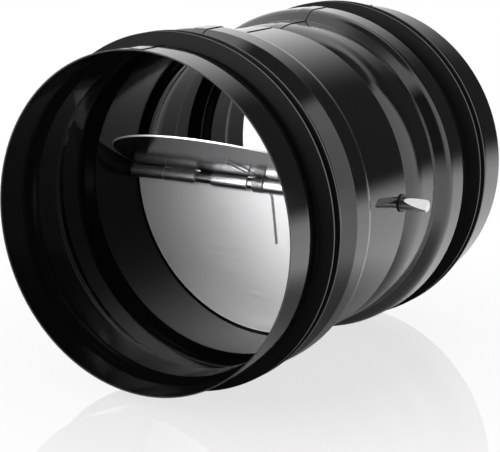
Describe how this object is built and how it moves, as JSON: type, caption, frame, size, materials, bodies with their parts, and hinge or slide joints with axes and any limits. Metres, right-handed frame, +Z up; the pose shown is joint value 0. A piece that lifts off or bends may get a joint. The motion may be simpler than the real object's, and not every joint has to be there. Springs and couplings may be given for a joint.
{
  "type": "backdraft damper",
  "caption": "Round duct backdraft damper: beaded black casing with double-lip seals and two half-disc flaps on one sprung hinge axle.",
  "frame": {"origin": "centre of the outlet rim, on the duct axis", "axes": "+Y along the duct from outlet to inlet, +X along the hinge towards the cut axle end, +Z up"},
  "size_m": [0.2203, 0.268, 0.2112],
  "materials": {
    "casing_enamel": "deep black gloss on rolled steel sheet",
    "seal_rubber": "matt black rubber",
    "axle_steel": "bright drawn steel rod",
    "bush_plastic": "black moulded plastic",
    "flap_metal": "smooth bright sheet",
    "spring_steel": "drawn spring wire"
  },
  "bodies": {
    "casing": {"casing": "casing_enamel", "outlet_gasket": "seal_rubber", "inlet_gasket": "seal_rubber", "axle": "axle_steel", "right_bush": "bush_plastic", "left_bush": "bush_plastic", "torsion_spring": "spring_steel"},
    "upper_flap": {"upper_flap": "flap_metal"},
    "lower_flap": {"lower_flap": "flap_metal"}
  },
  "joints": [
    {"name": "upper_flap_hinge", "type": "hinge", "parent": "casing", "child": "upper_flap", "pos_m": [0, 0.132, 0], "axis": [1, 0, 0], "range_deg": [-66, 19], "stiffness_Nm_per_rad": 0.02, "springref_deg": -85.94, "deforming": ["torsion_spring"]},
    {"name": "lower_flap_hinge", "type": "hinge", "parent": "casing", "child": "lower_flap", "pos_m": [0, 0.132, 0], "axis": [-1, 0, 0], "range_deg": [0, 85], "stiffness_Nm_per_rad": 0.02, "springref_deg": -20.05, "deforming": ["torsion_spring"]}
  ]
}
